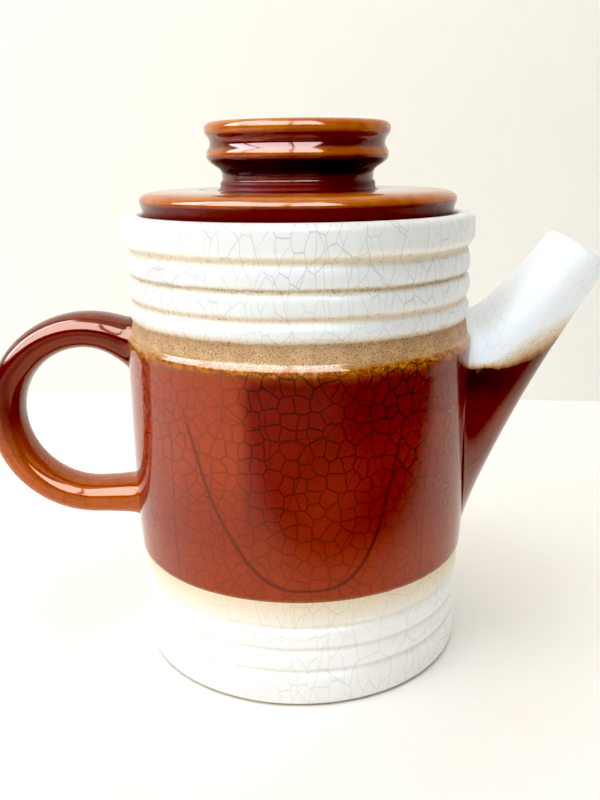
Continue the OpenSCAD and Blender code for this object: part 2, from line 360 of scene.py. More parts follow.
def lay_out(ob, rings, sides, closed):
    """Flat coordinates in metres: girth across, length along."""
    mesh = ob.data
    uv = mesh.uv_layers.new(name="UVMap")
    lengths = [0.0]
    for a, b in zip(rings, rings[1:] + ([rings[0]] if closed else [])):
        lengths.append(lengths[-1] + float(np.mean(np.linalg.norm(b - a, axis=1))))
    girths = [float(np.sum(np.linalg.norm(np.roll(r, -1, axis=0) - r, axis=1))) for r in rings]
    girth = sum(girths) / len(girths)
    for poly in mesh.polygons:
        ids = [mesh.loops[i].vertex_index for i in poly.loop_indices]
        rows = [i // sides for i in ids]
        cols = [i % sides for i in ids]
        wraps_along = max(rows) - min(rows) > 1
        wraps_round = max(cols) - min(cols) > 1 and len(ids) == 4
        for loop, row, col in zip(poly.loop_indices, rows, cols):
            along = lengths[-1] if (wraps_along and row == 0) else lengths[row]
            if wraps_round and col == 0:
                col += sides
            uv.data[loop].uv = (col / sides * girth * MM, along * MM)


# ---------------------------------------------------------------- spout
TIP = np.array([93.5, 136.3])     # x, z of the mouth's centre
TIP_ANGLE = math.radians(31.6)
TIP_HALF = 11.6                   # half the mouth's height, and its half width
ROOT_HALF_W = 20.0
TO_EDGE = TIP_HALF * np.array([-math.cos(TIP_ANGLE), math.sin(TIP_ANGLE)])
# three (x, z) control points each, from the wall to the mouth
UPPER_LINE = ((PLAIN_R - 5, 113), (PLAIN_R + 6.5, 117.5), TIP + TO_EDGE)
LOWER_LINE = ((PLAIN_R - 1.5, 40), (PLAIN_R + 20.5, 94), TIP - TO_EDGE)
SPOUT_SIDES = 72
BORE_INSET = 4.2
# (inset from the outer skin, distance past the mouth's plane): the rounded lip
LIP = [(0.12, 0.6), (0.45, 1.2), (0.95, 1.75), (1.6, 2.15), (2.3, 2.25), (3.0, 2.05), (3.6, 1.5),
       (4.0, 0.8)]


def bezier(a, b, c, t):
    return (1 - t) ** 2 * np.array(a) + 2 * t * (1 - t) * np.array(b) + t * t * np.array(c)


def spout_skin(inset, flare):
    """Point function of the spout's skin, inset inwards and flared where it meets the wall."""
    def point(t, angle):
        upper, lower = bezier(*UPPER_LINE, t), bezier(*LOWER_LINE, t)
        centre, half = (upper + lower) / 2, (upper - lower) / 2
        height = np.linalg.norm(half)
        u = half / height
        width = TIP_HALF + (ROOT_HALF_W - TIP_HALF) * max(0.0, 1 - t) ** 1.4 - inset
        height -= inset
        ca, sa = math.cos(angle), math.sin(angle)
        p = np.array([centre[0] + u[0] * height * ca, width * sa,
                      centre[1] + u[1] * height * ca])
        if flare:
            normal = np.array([u[0] * ca / height, sa / width, u[1] * ca / height])
            normal /= np.linalg.norm(normal)
            gap = math.hypot(p[0], p[1]) - GLAZE_R
            p = p + normal * flare * math.exp(-max(gap, -1.5) / 2.3)
        return p
    return point


def make_spout():
    root_r = BAND_R - 3.0
    skin = tube(spout_skin(0.0, 1.5), 62, SPOUT_SIDES, root_r, False, 1.25)
    across = (UPPER_LINE[2] - LOWER_LINE[2]) / np.linalg.norm(UPPER_LINE[2] - LOWER_LINE[2])
    along = np.array([across[1], 0, -across[0]])
    angles = np.arange(SPOUT_SIDES) * TAU / SPOUT_SIDES
    lip = [np.array([spout_skin(inset, 0)(1.0, a) + along * out for a in angles])
           for inset, out in LIP]
    bore = tube(spout_skin(BORE_INSET, 0.0), 30, SPOUT_SIDES, root_r, False)[::-1]
    rings = skin + lip + bore
    verts = np.concatenate(rings)
    # the slightest unevenness of a pulled spout
    verts[:, 1] += 0.12 * value_noise(verts[:, 2] * 0.07, verts[:, 0] * 0.05, 5)
    ob = make_object("spout_glazed", verts, tube_faces(rings, SPOUT_SIDES, True),
                     "pot", "spout", "brown_glaze")
    lay_out(ob, rings, SPOUT_SIDES, True)
    return ob


spout = make_spout()

# ---------------------------------------------------------------- handle
LOOP_R = 30.2
LOOP_X, LOOP_Z = -(PLAIN_R + LOOP_R - 14.5), 81.7
GRIP_HALF_T, GRIP_HALF_W = 6.0, 9.0
LIMB = -LOOP_X - (PLAIN_R - 8)    # length of the lower limb, out from the pot
HANDLE_LENGTH = LIMB + math.radians(232) * LOOP_R
HANDLE_SIDES = 48
SQUARING = 0.86                   # below 1 the section is fuller than an ellipse


def handle_point(t, angle):
    s = t * HANDLE_LENGTH
    if s < LIMB:
        centre = np.array([LOOP_X + LIMB - s, LOOP_Z - LOOP_R + 0.9 * ((LIMB - s) / LIMB) ** 2])
        turn = -math.pi / 2
    else:
        turn = -math.pi / 2 - (s - LIMB) / LOOP_R
        centre = np.array([LOOP_X + LOOP_R * math.cos(turn), LOOP_Z + LOOP_R * math.sin(turn)])
    near_low = math.exp(-((s - LIMB * 0.3) / 9.0) ** 2)
    near_top = math.exp(-((HANDLE_LENGTH - s - 8) / 13.0) ** 2)
    thick = GRIP_HALF_T * (1 + 0.10 * near_low + 0.07 * near_top)
    wide = GRIP_HALF_W * (1 + 0.12 * near_low + 0.06 * near_top - 0.05 * math.sin(math.pi * t))
    ca, sa = math.cos(angle), math.sin(angle)
    radial = math.copysign(abs(ca) ** SQUARING, ca) * thick
    y = math.copysign(abs(sa) ** SQUARING, sa) * wide
    # the underside of the top end is thicker than its upper side
    if ca < 0:
        radial -= 1.6 * near_top * (abs(ca) ** 1.5)
    p = np.array([centre[0] + math.cos(turn) * radial, y, centre[1] + math.sin(turn) * radial])
    gap = math.hypot(p[0], p[1]) - GLAZE_R
    outward = np.array([math.cos(turn) * ca, sa * 0.8, math.sin(turn) * ca])
    return p + outward * 0.9 * math.exp(-max(gap, -1.0) / 1.3)


handle_rings = tube(handle_point, 130, HANDLE_SIDES, BAND_R - 3.2, True)
handle = make_object("handle_glazed", np.concatenate(handle_rings),
                     tube_faces(handle_rings, HANDLE_SIDES, False),
                     "pot", "handle", "brown_glaze")
lay_out(handle, handle_rings, HANDLE_SIDES, False)

# ---------------------------------------------------------------- lid and knob
SKIRT_R = 40.8                    # outside of the locating skirt
LID_R = half_width("lid") + 0.6
LAND_Z = SEAT_Z + 10.7            # flat that the knob stands on
NECK_R = 24.5
KNOB_R = half_width("lid_knob") + 0.3
KNOB_DRAWN_R = 29.9               # widest radius in the knob's outline
VENT_X = -31.65


def lid_profile():
    """Up from the underside's middle, round the skirt and the edge, and in over the top."""
    return curve_points(np.concatenate([
        points_at(0, LAND_Z, [(16.0, -0.5), (15.7, -2.5), (16.2, -4.4), (17.5, -5.2)]),
        points_at(0, SEAT_Z, [(22, 5.0)]),
        points_at(SKIRT_R, SEAT_Z, [
            (-8.5, 2.8), (-5.3, 1.6), (-4.2, 0.2), (-4.0, -2), (-4.0, -6.2), (-3.6, -7.1),
            (-2.6, -7.5), (-1.2, -7.35), (-0.3, -6.7), (0, -5.6), (0, -1.2), (0.1, -0.35),
            (0.6, 0.02), (2, 0.04)]),
        points_at(LID_R, SEAT_Z, [
            (-3.4, 0.04), (-2.5, 0.2), (-1.9, 0.8), (-1.55, 2.0), (-1.1, 3.8), (-0.7, 5.4),
            (-0.35, 6.4), (-0.08, 7.3), (-0.02, 8.0), (-0.25, 8.7), (-0.8, 9.35), (-1.7, 9.9),
            (-3.2, 10.35), (-5.5, 10.65), (-9, 10.85), (-15, 10.9), (-20, 10.85)]),
        points_at(NECK_R, LAND_Z, [(4.2, 0.05), (3.0, 0), (1.6, 0)]),
        points_at(0, LAND_Z, [(20, 0), (17, 0)])]), 1.2)


def knob_profile():
    """Out over the crown, down the two beads and the neck, and up the hollow inside."""
    profile = curve_points(np.concatenate([
        points_at(0, KNOB_TOP, [
            (0, -1.5), (8, -1.45), (16, -1.25), (21, -0.95), (24.2, -0.5), (26.2, -0.12),
            (27.6, -0.02), (28.7, -0.3), (29.5, -0.95), (29.85, -1.8), (29.9, -2.7),
            (29.75, -3.5), (29.3, -4.2), (28.75, -4.9), (28.35, -5.7), (28.2, -6.5),
            (28.3, -7.3), (28.65, -8.1), (29.1, -8.8), (29.35, -9.6), (29.4, -10.5),
            (29.15, -11.5), (28.5, -12.4), (27.4, -13.3), (26.1, -14.1), (25.2, -14.8),
            (24.75, -15.6), (24.55, -16.6), (24.5, -17.5), (24.45, -18.1), (24.7, -18.45),
            (25.05, -18.75), (25.15, -19.4)]),
        points_at(0, LAND_Z, [
            (25.15, 1.2), (25.4, 0.5), (26.1, 0.12), (27.0, -0.06), (26.2, -0.25), (22, -0.2),
            (20.4, 0.2), (20, 1.2), (20, 5), (20.5, 6.5), (22.4, 8.2), (24.2, 9.8),
            (24.9, 11.2), (24.5, 12.4), (22.8, 13), (14, 12.9), (0, 12.8)])]), 0.8)
    profile[:, 0] *= KNOB_R / KNOB_DRAWN_R
    return profile[::-1]


def lid_wave(theta, r, z):
    """Slight unevenness of the lid's edge and top, none on the skirt or seat."""
    live = min(1.0, max(0.0, (r - 43) / 6)) if z > SEAT_Z + 2 else 0.0
    cells = 9
    row = np.full_like(theta, r * 0.05)
    dz = 0.10 * value_noise(theta * cells / TAU, row, 21, cells) * live
    return 0.05 * np.sin(2 * theta + 1.3) * live, dz


lid = make_object("lid_glazed", *lathe(lid_profile(), 220, lid_wave), "lid", "lid", "lid_glaze")
cut(lid, rods([((VENT_X, 0, SEAT_Z - 3), (VENT_X, 0, SEAT_Z + 20))], 1.5, 24), "vent_cutter")
knob = make_object("lid_knob_glazed", *lathe(knob_profile(), 200),
                   "lid", "lid_knob", "lid_glaze")

# ---------------------------------------------------------------- infuser basket
BASKET_R = half_width("infuser_wall")
FLANGE_R = half_width("infuser_rim")
BASE_Z = span("infuser_base")[0][2]
SHEET = 0.6                       # thickness of the wall's sheet
HOLE_R = 0.95


def flange_profile():
    """Collar round the basket's wall, and the flange that lies on the ledge."""
    return curve_points(np.concatenate([
        points_at(BASKET_R, LEDGE_Z, [
            (0.02, -7.6), (0.1, -7.95), (0.4, -8.0), (0.72, -7.9), (0.8, -7.5), (0.8, -1.2),
            (0.95, -0.3), (1.5, 0.02), (3, 0.04)]),
        points_at(FLANGE_R, LEDGE_Z, [
            (-1.1, 0.04), (-0.45, 0.08), (-0.08, 0.32), (-0.02, 0.6), (-0.2, 0.86)]),
        points_at(FLANGE_R, SEAT_Z, [(-0.6, -0.03), (-2, -0.02)]),
        points_at(BASKET_R, SEAT_Z, [
            (2.2, -0.02), (0.9, -0.1), (0.35, -0.4), (0.08, -0.95), (0.02, -2)])]), 1.5)


def cup_profile():
    """Shallow cup round the foot of the wall: upper face outwards, lower face back."""
    return curve_points(np.concatenate([
        points_at(0, BASE_Z, [
            (0, 0.62), (20, 0.62), (34, 0.62), (37, 0.7), (38.5, 1.1), (39.6, 1.25),
            (40.8, 0.95), (41.4, 0.75), (41.8, 0.9)]),
        points_at(BASKET_R, BASE_Z, [
            (0.02, 1.6), (0.02, 5.9), (0.02, 6.7), (0.2, 6.98), (0.45, 6.98), (0.6, 6.7),
            (0.62, 5.5), (0.62, 2.0), (0.5, 1.1), (0.1, 0.45), (-0.6, 0.12), (-1.5, 0.08)]),
        points_at(0, BASE_Z, [
            (39.6, 0.5), (38.4, 0.42), (37, 0.08), (34, 0.02), (20, 0.02), (0, 0.02)])]), 2.0)


def perforated_wall(columns=78):
    """Sheet of square cells with a round hole each, between two plain bands."""
    bottom, top = wall_low[2], wall_high[2] - 0.2
    girth = TAU * BASKET_R
    pitch = girth / columns
    row_height = pitch * 0.92
    holes_low, holes_high = bottom + 9.0, top - 12.0
    row_count = int((holes_high - holes_low) / row_height)
    holes_high = holes_low + row_count * row_height
    verts, faces, index = [], [], {}

    def vertex(u, z, side):
        """Vertex at u along the girth, on the outer (0) or inner (1) side of the sheet."""
        key = (round((u % girth) * 200) % round(girth * 200), round(z * 200), side)
        if key not in index:
            theta = u / BASKET_R
            r = BASKET_R - SHEET * side
            index[key] = len(verts)
            verts.append((r * math.cos(theta), r * math.sin(theta), z))
        return index[key]

    def cell(u0, z0):
        uc, zc = u0 + pitch / 2, z0 + row_height / 2
        u1, z1 = u0 + pitch, z0 + row_height
        border = [(u1, zc), (u1, z1), (uc, z1), (u0, z1), (u0, zc), (u0, z0), (uc, z0), (u1, z0)]
        holes = []
        for side in (0, 1):
            hole = [vertex(uc + HOLE_R * math.cos(k * TAU / 8),
                           zc + HOLE_R * math.sin(k * TAU / 8), side) for k in range(8)]
            edge = [vertex(u, z, side) for u, z in border]
            holes.append(hole)
            for k in range(8):
                m = (k + 1) % 8
                quad = (hole[k], edge[k], edge[m], hole[m])
                faces.append(quad if side == 0 else quad[::-1])
        outer, inner = holes
        for k in range(8):
            m = (k + 1) % 8
            faces.append((outer[k], outer[m], inner[m], inner[k]))

    def half_columns():
        return [(c * pitch / 2, (c + 1) * pitch / 2) for c in range(columns * 2)]

    def plain_band(low, high, count):
        zs = np.linspace(low, high, count + 1)
        for za, zb in zip(zs, zs[1:]):
            for u0, u1 in half_columns():
                for side in (0, 1):
                    quad = (vertex(u0, za, side), vertex(u1, za, side),
                            vertex(u1, zb, side), vertex(u0, zb, side))
                    faces.append(quad if side == 0 else quad[::-1])

    for row in range(row_count):
        for col in range(columns):
            cell((col + 0.5 * (row % 2)) * pitch, holes_low + row * row_height)
    plain_band(bottom, holes_low, 4)
    plain_band(holes_high, top, 5)
    for u0, u1 in half_columns():
        for z, side in ((bottom, 1), (top, 0)):
            faces.append((vertex(u0, z, side), vertex(u1, z, side),
                          vertex(u1, z, 1 - side), vertex(u0, z, 1 - side)))
    return verts, faces


def base_holes(ring_pitch=3.35):
    """A middle hole and ten rings of holes round it."""
    places = [(0, 0)]
    for ring in range(1, 11):
        count = 6 * ring
        r = ring * ring_pitch
        for k in range(count):
            a = TAU * (k + 0.5 * (ring % 2)) / count
            places.append((r * math.cos(a), r * math.sin(a)))
    return rods([((x, y, BASE_Z - 1), (x, y, BASE_Z + 2)) for x, y in places], HOLE_R, 10)


infuser_rim = make_object("infuser_rim_pressed", *lathe(flange_profile(), 200),
                          "infuser", "infuser_rim", "pressed_steel")
infuser_wall = make_object("infuser_wall_perforated", *perforated_wall(),
                           "infuser", "infuser_wall", "perforated_steel")
infuser_base = make_object("infuser_base_perforated", *lathe(cup_profile(), 156),
                           "infuser", "infuser_base", "perforated_steel")
cut(infuser_base, base_holes(), "base_cutter")


# ---------------------------------------------------------------- node helpers
class Nodes:
    """Short hands for building a node tree. Values may be sockets, numbers or tuples."""

    def __init__(self, tree):
        self.tree = tree
        tree.nodes.clear()

    def node(self, kind):
        return self.tree.nodes.new(kind)

    def link(self, a, b):
        self.tree.links.new(a, b)

    def put(self, value, socket):
        if isinstance(value, bpy.types.NodeSocket):
            self.link(value, socket)
        elif isinstance(value, tuple):
            opaque = len(value) == 3 and len(socket.default_value) == 4
            socket.default_value = value + ((1.0,) if opaque else ())
        else:
            socket.default_value = value

    def split(self, vector):
        n = self.node("ShaderNodeSeparateXYZ")
        self.link(vector, n.inputs[0])
        return tuple(n.outputs)

    def math(self, op, *values, clamp=False):
        n = self.node("ShaderNodeMath")
        n.operation, n.use_clamp = op, clamp
        for value, socket in zip(values, n.inputs):
            self.put(value, socket)
        return n.outputs[0]

    def chain(self, op, first, *rest):
        for value in rest:
            first = self.math(op, first, value)
        return first

    def add(self, *values):
        return self.chain("ADD", *values)

    def mul(self, *values):
        return self.chain("MULTIPLY", *values)

    def max(self, *values):
        return self.chain("MAXIMUM", *values)

    def sub(self, a, b):
        return self.math("SUBTRACT", a, b)

    def div(self, a, b, clamp=False):
        return self.math("DIVIDE", a, b, clamp=clamp)

    def abs(self, a):
        return self.math("ABSOLUTE", a)

    def map_range(self, x, low, high, at_low=0, at_high=1, smooth=True):
        n = self.node("ShaderNodeMapRange")
        n.interpolation_type = "SMOOTHSTEP" if smooth else "LINEAR"
        for value, socket in ((x, "Value"), (low, "From Min"), (high, "From Max"),
                              (at_low, "To Min"), (at_high, "To Max")):
            self.put(value, n.inputs[socket])
        return n.outputs["Result"]

    def step(self, x, a, b, smooth=True):
        """0 at a, 1 at b, either way round."""
        if a <= b:
            return self.map_range(x, a, b, 0, 1, smooth)
        return self.map_range(x, b, a, 1, 0, smooth)

    def band(self, x, rise, fall):
        """1 between two steps, each given as (where it is 0, where it is 1)."""
        return self.mul(self.step(x, *rise), self.step(x, *fall))

    def mix(self, fac, a, b):
        """Colour mix."""
        n = self.node("ShaderNodeMix")
        n.data_type = "RGBA"
        for value, i in ((fac, 0), (a, 6), (b, 7)):
            self.put(value, n.inputs[i])
        return n.outputs[2]

    def mixf(self, fac, a, b):
        """Number mix."""
        n = self.node("ShaderNodeMix")
        n.data_type = "FLOAT"
        for value, i in ((fac, 0), (a, 2), (b, 3)):
            self.put(value, n.inputs[i])
        return n.outputs[0]


class Material(Nodes):
    """A material that works on object coordinates, in metres."""

    def __init__(self, name):
        self.material = bpy.data.materials.new(name)
        self.material.use_nodes = True
        super().__init__(self.material.node_tree)
        self.out = self.node("ShaderNodeOutputMaterial")
        self.pos = self.node("ShaderNodeTexCoord").outputs["Object"]
        self.x, self.y, self.z = self.split(self.pos)

    def axis_distance(self):
        squares = self.add(self.mul(self.x, self.x), self.mul(self.y, self.y))
        return self.math("SQRT", squares)

    def vec(self, op, a, b=None, scale=None):
        n = self.node("ShaderNodeVectorMath")
        n.operation = op
        self.put(a, n.inputs[0])
        if b is not None:
            self.put(b, n.inputs[1])
        if scale is not None:
            self.put(scale, n.inputs["Scale"])
        return n.outputs[0]

    def noise(self, scale, detail=3.0, rough=0.6, at=None, output="Fac"):
        n = self.node("ShaderNodeTexNoise")
        n.inputs["Scale"].default_value = scale
        n.inputs["Detail"].default_value = detail
        n.inputs["Roughness"].default_value = rough
        self.link(self.pos if at is None else at, n.inputs["Vector"])
        return n.outputs[output]

    def wobble(self, **noise):
        """Noise centred on 0."""
        return self.sub(self.noise(**noise), 0.5)

    def patches(self, a, b, **noise):
        """Noise made into patches: 0 where it is a, 1 where it is b."""
        return self.step(self.noise(**noise), a, b)

    def dots(self, scale, edge, core):
        """Round dots, 0 at the edge distance from a cell's point and 1 at the core distance."""
        n = self.node("ShaderNodeTexVoronoi")
        n.feature = "F1"
        n.inputs["Scale"].default_value = scale
        n.inputs["Randomness"].default_value = 1.0
        self.link(self.pos, n.inputs["Vector"])
        return self.step(n.outputs["Distance"], edge, core)

    def ramp(self, fac, stops):
        n = self.node("ShaderNodeValToRGB")
        elements = n.color_ramp.elements
        while len(elements) > 1:
            elements.remove(elements[-1])
        elements[0].position = stops[0][0]
        elements[0].color = (*stops[0][1], 1)
        for place, colour in stops[1:]:
            elements.new(place).color = (*colour, 1)
        self.put(fac, n.inputs[0])
        return n.outputs[0]

    def surface(self, colour, rough, height, metallic=0.0, ior=1.5, **extra):
        """Principled surface with height, in metres, as its bump."""
        bump = self.node("ShaderNodeBump")
        bump.inputs["Strength"].default_value = 1.0
        bump.inputs["Distance"].default_value = 1.0
        self.put(height, bump.inputs["Height"])
        n = self.node("ShaderNodeBsdfPrincipled")
        values = {"Base Color": colour, "Roughness": rough, "Metallic": metallic, "IOR": ior,
                  "Normal": bump.outputs[0], **extra}
        for socket, value in values.items():
            self.put(value, n.inputs[socket])
        self.link(n.outputs[0], self.out.inputs[0])
        return self.material

    def glaze(self, colour, rough, height, tint):
        return self.surface(colour, rough, height, ior=1.72, **{"Specular Tint": tint})


def srgb(*channels):
    return tuple(((c / 255) / 12.92 if c / 255 <= 0.04045 else ((c / 255 + 0.055) / 1.055) ** 2.4)
                 for c in channels)


# ---------------------------------------------------------------- glaze parts
BROWN_TINT = (1.0, 0.50, 0.32)
PALE_TINT = (0.52, 0.375, 0.29)


def wrapped(mat, radius):
    """Flat coordinates of a round wall: metres of girth and height. The join is at +x."""
    around = mat.math("ARCTAN2", mat.y, mat.mul(mat.x, -1.0))
    n = mat.node("ShaderNodeCombineXYZ")
    mat.link(mat.mul(around, radius), n.inputs[0])
    mat.link(mat.z, n.inputs[1])
    return n.outputs[0]


def crackle(mat, at, cell, width, seed, warp=0.3, y_scale=1.0, soft=0.1):
    """Lines of a crazed glaze: 1 on a crack, 0 off it. cell and width are in metres.

    y_scale below 1 makes the cells taller, soft is the part of the width that is fully dark.
    """
    place = mat.vec("ADD", at, (seed * 0.137, seed * 0.071, 0.0))
    bend = mat.noise(scale=0.6 / cell, detail=2.0, rough=0.55, at=place, output="Color")
    bend = mat.vec("SCALE", mat.vec("SUBTRACT", bend, (0.5, 0.5, 0.5)), scale=cell * warp * 2)
    place = mat.vec("MULTIPLY", mat.vec("ADD", place, bend), (1.0, y_scale, 1.0))
    n = mat.node("ShaderNodeTexVoronoi")
    n.voronoi_dimensions = "2D"
    n.feature = "DISTANCE_TO_EDGE"
    n.inputs["Scale"].default_value = 1 / cell
    n.inputs["Randomness"].default_value = 0.9
    mat.link(place, n.inputs["Vector"])
    distance = mat.mul(n.outputs["Distance"], cell)
    return mat.math("SUBTRACT", 1.0, mat.step(distance, width * soft, width), clamp=True)


def glaze_micro(mat, amount=1.0):
    """Orange-peel ripple of a fired glaze, as a height in metres."""
    fine = mat.mul(mat.noise(scale=220, detail=2, rough=0.5), 0.000008 * amount)
    broad = mat.mul(mat.noise(scale=60, detail=1, rough=0.5), 0.00005 * amount)
    return mat.add(fine, broad)


def brown_glaze(mat, uv, seed, deep, mid, cells=0.0044):
    """Colour and crack mask of the crazed brown glaze."""
    colour = mat.mix(mat.patches(0.35, 0.68, scale=24, rough=0.55), deep, mid)
    net = crackle(mat, uv, cell=cells, width=0.00046, seed=seed, warp=0.34, y_scale=0.88,
                  soft=0.15)
    fine = crackle(mat, uv, cell=cells * 0.62, width=0.00018, seed=seed + 3, warp=0.35)
    big = crackle(mat, uv, cell=cells * 3.6, width=0.00034, seed=seed + 5, warp=0.35,
                  y_scale=0.7)
    some = mat.patches(0.40, 0.62, scale=75, detail=2)
    where = mat.patches(0.36, 0.62, scale=30, detail=2)
    net = mat.mul(net, mat.mixf(where, 0.60, 1.0))
    fine = mat.mul(fine, mat.mul(some, 0.38))
    big = mat.mul(big, mat.mixf(some, 0.35, 0.75))
    return colour, mat.max(net, fine, big)


def bare_clay(mat, light, dark):
    return mat.mix(mat.noise(scale=300, detail=4, rough=0.7), light, dark)


def clay_grain(mat, mask):
    """Height of the unglazed clay's grain."""
    return mat.mul(mask, mat.noise(scale=1200, rough=0.7), 0.0003)


# ---------------------------------------------------------------- pot material
AMBER, GOLD = srgb(168, 84, 14), srgb(198, 132, 44)
# (height in mm, sRGB colour) of the pale glaze up the pot. The whites of the low ribs are lighter
# than those of the upper ribs, as painted light from the pale floor.
PALE_STOPS = [
    (0, (238, 234, 228)), (11.3, (247, 246, 243)), (12.4, (228, 220, 208)),
    (13.6, (247, 246, 243)), (19.2, (247, 246, 243)), (20.1, (226, 218, 206)),
    (21.4, (247, 246, 243)), (27.0, (247, 246, 243)), (27.9, (230, 220, 202)),
    (29.2, (240, 232, 216)), (33.5, (233, 219, 196)), (36.4, (226, 206, 174)),
    (110.6, (198, 132, 44)), (111.4, (212, 168, 112)), (113.0, (204, 162, 118)),
    (116.2, (190, 150, 108)), (117.0, (168, 132, 96)), (117.9, (218, 202, 178)),
    (119.4, (231, 231, 229)), (122.4, (228, 230, 230)), (123.4, (220, 204, 178)),
    (124.5, (208, 188, 158)), (125.6, (231, 231, 229)), (130.6, (228, 230, 230)),
    (131.4, (218, 202, 176)), (132.2, (196, 172, 136)), (133.4, (231, 231, 229)),
    (138.3, (228, 230, 230)), (139.3, (220, 206, 182)), (140.8, (214, 196, 168)),
    (142.0, (243, 239, 231)), (143.6, (231, 231, 229))]
# (height in mm, amount) of iron specks in the grooves and bare-looking zones
SPECK_STOPS = [
    (0, 0), (35.4, 0.02), (36.4, 0.2), (110.4, 1), (116.6, 1), (117.6, 0.5), (118.6, 0),
    (123.2, 0), (123.9, 0.45), (124.7, 0.25), (125.6, 0), (131.3, 0), (131.7, 1), (132.5, 1),
    (133.0, 0), (139.0, 0), (140.0, 0.30), (141.2, 0.2), (142.2, 0)]


def pale_zone(mat, wob, fine_wob):
    """Colour of the pale glaze, with masks of its specks, grooves and wide groove."""
    z = mat.add(mat.z, mat.add(mat.mul(wob, 0.0012), mat.mul(fine_wob, 0.0008)))
    height = mat.div(z, NOMINAL_TOP * MM)
    pale = mat.ramp(height, [(mm / NOMINAL_TOP, srgb(*rgb)) for mm, rgb in PALE_STOPS])
    grooves = mat.ramp(height, [(mm / NOMINAL_TOP, (level,) * 3) for mm, level in SPECK_STOPS])
    patch = mat.patches(0.32, 0.62, scale=150)
    # specks need less noise where the groove mask is high
    least = mat.mixf(grooves, 0.64, 0.36)
    clusters = mat.map_range(mat.noise(scale=460, detail=2, rough=0.7), least,
                             mat.add(least, 0.10))
    specks = mat.mul(mat.dots(scale=2300, edge=0.46, core=0.26), clusters)
    specks = mat.math("MULTIPLY", mat.mul(specks, mat.step(grooves, 0.02, 0.2)), 0.92,
                      clamp=True)
    stray = mat.mul(mat.dots(scale=420, edge=0.075, core=0.045),
                    mat.patches(0.55, 0.6, scale=120, detail=2))
    specks = mat.max(specks, mat.mul(stray, 0.6))
    wide = mat.band(mat.z, (0.1100, 0.1110), (0.1176, 0.1168))
    pale = mat.mix(mat.mul(wide, patch, 0.38), pale, srgb(150, 108, 66))
    return mat.mix(specks, pale, srgb(54, 32, 16)), specks, grooves, wide


def painted_side_light(mat):
    """Painted light and reflection on the brown band: lighter and more orange on the handle side,
    where the window light falls, and painted reflection of the pale floor on the spout side and
    low down.
    """
    sway = mat.mul(mat.wobble(scale=26), 0.012)
    left = mat.step(mat.add(mat.x, sway), -0.0135, -0.0190)
    left = mat.mul(left, mat.mixf(mat.step(mat.z, 0.060, 0.085), 0.55, 1.0))
    right = mat.step(mat.add(mat.x, mat.mul(mat.sub(0.1, mat.z), 1.2)), 0.020, 0.046)
    right = mat.mul(right, mat.step(mat.z, 0.095, 0.088))
    low = mat.step(mat.add(mat.z, sway), 0.074, 0.044)
    return mat.max(mat.mul(left, 0.54), mat.max(mat.mul(right, 0.20), mat.mul(low, 0.42)))


def brown_edges(mat, brown, edge_high):
    """Lightens the brown at its lower edge and, raggedly, towards its upper edge."""
    brown = mat.mix(mat.step(mat.z, 0.0388, 0.0373), brown, srgb(140, 74, 22))
    ragged = mat.add(edge_high, mat.mul(mat.wobble(scale=160, rough=0.65), 0.004))
    brown = mat.mix(mat.mul(mat.step(ragged, 0.1052, 0.1084), 0.70), brown, srgb(132, 56, 6))
    brown = mat.mix(mat.mul(mat.step(ragged, 0.1076, 0.1092), 0.85), brown, AMBER)
    gilt = mat.mul(mat.step(edge_high, 0.1082, 0.1096),
                   mat.patches(0.42, 0.6, scale=500, detail=2))
    return mat.mix(gilt, brown, GOLD)


def long_cracks(mat, wob):
    """A long looping crack on the front (-y) and two upright ones beside it."""
    loop_centre = 0.0             # girth at the loop's lowest point
    girth = mat.mul(mat.math("ARCTAN2", mat.x, mat.mul(mat.y, -1.0)), PLAIN_R * MM)
    girth = mat.add(girth, mat.mul(wob, 0.0022))
    along = mat.sub(girth, loop_centre)
    left = mat.div(mat.max(mat.mul(along, -1.0), 0.0), 0.0335)
    right = mat.div(mat.max(along, 0.0), 0.0300)

    def power(base, exponent):
        return mat.math("POWER", base, exponent)

    bowl = mat.add(power(left, 2.3), power(right, 3.6))
    curve = mat.add(mat.mul(bowl, 0.0440), 0.0414)
    # dividing by the slope keeps the line's width even
    slope = mat.add(mat.mul(power(left, 1.3), 3.0), mat.mul(power(right, 2.6), 5.3), 1.0)
    away = mat.div(mat.abs(mat.sub(mat.z, curve)), slope)
    ends = mat.mul(mat.step(mat.z, 0.100, 0.086), mat.step(mat.y, 0.0, -0.001))
    loop = mat.mul(mat.step(away, 0.00070, 0.00020), ends)
    upright_left = mat.mul(mat.step(mat.abs(mat.add(girth, 0.0430)), 0.00042, 0.00014),
                           mat.step(mat.z, 0.093, 0.088))
    upright_right = mat.mul(mat.step(mat.abs(mat.sub(girth, 0.0412)), 0.00040, 0.00012),
                            mat.step(mat.z, 0.080, 0.074))
    return mat.max(loop, mat.mul(mat.max(upright_left, upright_right), 0.8))


